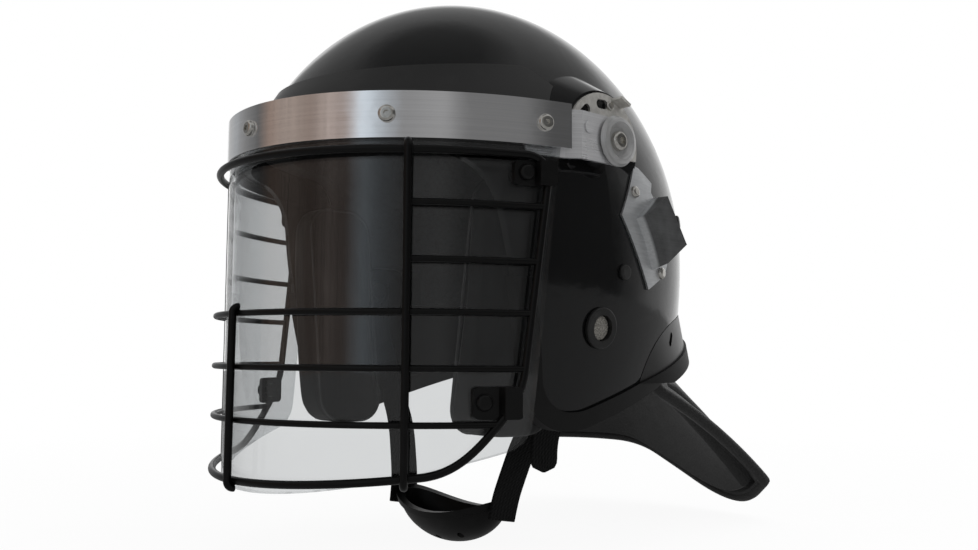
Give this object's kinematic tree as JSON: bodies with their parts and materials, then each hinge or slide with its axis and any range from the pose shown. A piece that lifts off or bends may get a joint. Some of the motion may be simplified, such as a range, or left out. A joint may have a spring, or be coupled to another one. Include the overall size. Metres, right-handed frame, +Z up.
{
  "type": "police riot helmet",
  "caption": "Black riot helmet with a clear visor under a wire guard that swings up on side pivots, gas mask brackets, a chin strap with a cup and a padded neck guard.",
  "frame": {"origin": "middle of the head cavity at the widest level of the shell, which is where the head mount is", "axes": "+Z up, -Y the way the face looks, +X the wearer's left"},
  "size_m": [0.2478, 0.3609, 0.32],
  "materials": {
    "shell_black": "high gloss moulded shell",
    "panel_black": "satin black skin",
    "trim_rubber": "matt extruded rubber",
    "liner_foam": "black foam beads",
    "pad_fabric": "black brushed knit",
    "vent_black": "satin black",
    "vent_foam": "grey open foam",
    "plate_zinc": "bright zinc plate",
    "bracket_steel": "satin stainless sheet",
    "pivot_steel": "turned stainless",
    "fastener_steel": "plated fasteners",
    "neck_leather": "black grained leather",
    "lens_clear": "clear polycarbonate",
    "band_steel": "polished stainless strip",
    "guard_black": "black powder coat",
    "clamp_black": "moulded black clamps",
    "strap_webbing": "black woven webbing",
    "cup_black": "moulded black chin cup"
  },
  "bodies": {
    "helmet": {"shell": "shell_black", "brow_panel": "panel_black", "rear_skirt": "panel_black", "edge_trim": "trim_rubber", "impact_liner": "liner_foam", "crown_pad": "pad_fabric", "brow_pad": "pad_fabric", "nape_pad": "pad_fabric", "cheek_pad_left": "pad_fabric", "cheek_pad_right": "pad_fabric", "ear_vent_rings": "vent_black", "ear_vent_foams": "vent_foam", "shell_rivets": "vent_black", "detent_plate_left": "plate_zinc", "detent_plate_right": "plate_zinc", "detent_rivets": "fastener_steel", "pivot_bushings": "pivot_steel", "pivot_caps": "pivot_steel", "pivot_bolts": "fastener_steel", "pivot_nuts": "fastener_steel", "mask_bracket_left": "bracket_steel", "mask_bracket_right": "bracket_steel", "bracket_screws": "fastener_steel", "bracket_nuts": "fastener_steel", "neck_guard": "neck_leather", "neck_guard_snaps": "vent_black", "strap_anchors": "vent_black"},
    "visor": {"visor_lens": "lens_clear", "visor_band": "band_steel", "visor_seal": "trim_rubber", "band_bolts": "fastener_steel", "band_nuts": "fastener_steel", "visor_arm_left": "band_steel", "visor_arm_right": "band_steel", "detent_plungers": "fastener_steel", "guard_frame": "guard_black", "guard_rail_upper": "guard_black", "guard_rail_middle": "guard_black", "guard_rail_lower": "guard_black", "side_rails_left": "guard_black", "side_rails_right": "guard_black", "guard_uprights": "guard_black", "guard_clamps": "clamp_black", "clamp_bolts": "clamp_black"},
    "chin_strap": {"chin_strap_left": "strap_webbing", "chin_strap_right": "strap_webbing", "chin_cup": "cup_black", "strap_buckle": "cup_black", "strap_tail": "strap_webbing"}
  },
  "joints": [
    {"name": "visor_swing", "type": "hinge", "parent": "helmet", "child": "visor", "pos_m": [0, -0.002, 0.0555], "axis": [-1, 0, 0], "range_deg": [0, 75]},
    {"name": "strap_swing", "type": "hinge", "parent": "helmet", "child": "chin_strap", "pos_m": [0, 0.01, -0.0124], "axis": [1, 0, 0], "range_deg": [-3, 40], "stiffness_Nm_per_rad": 0.05}
  ]
}
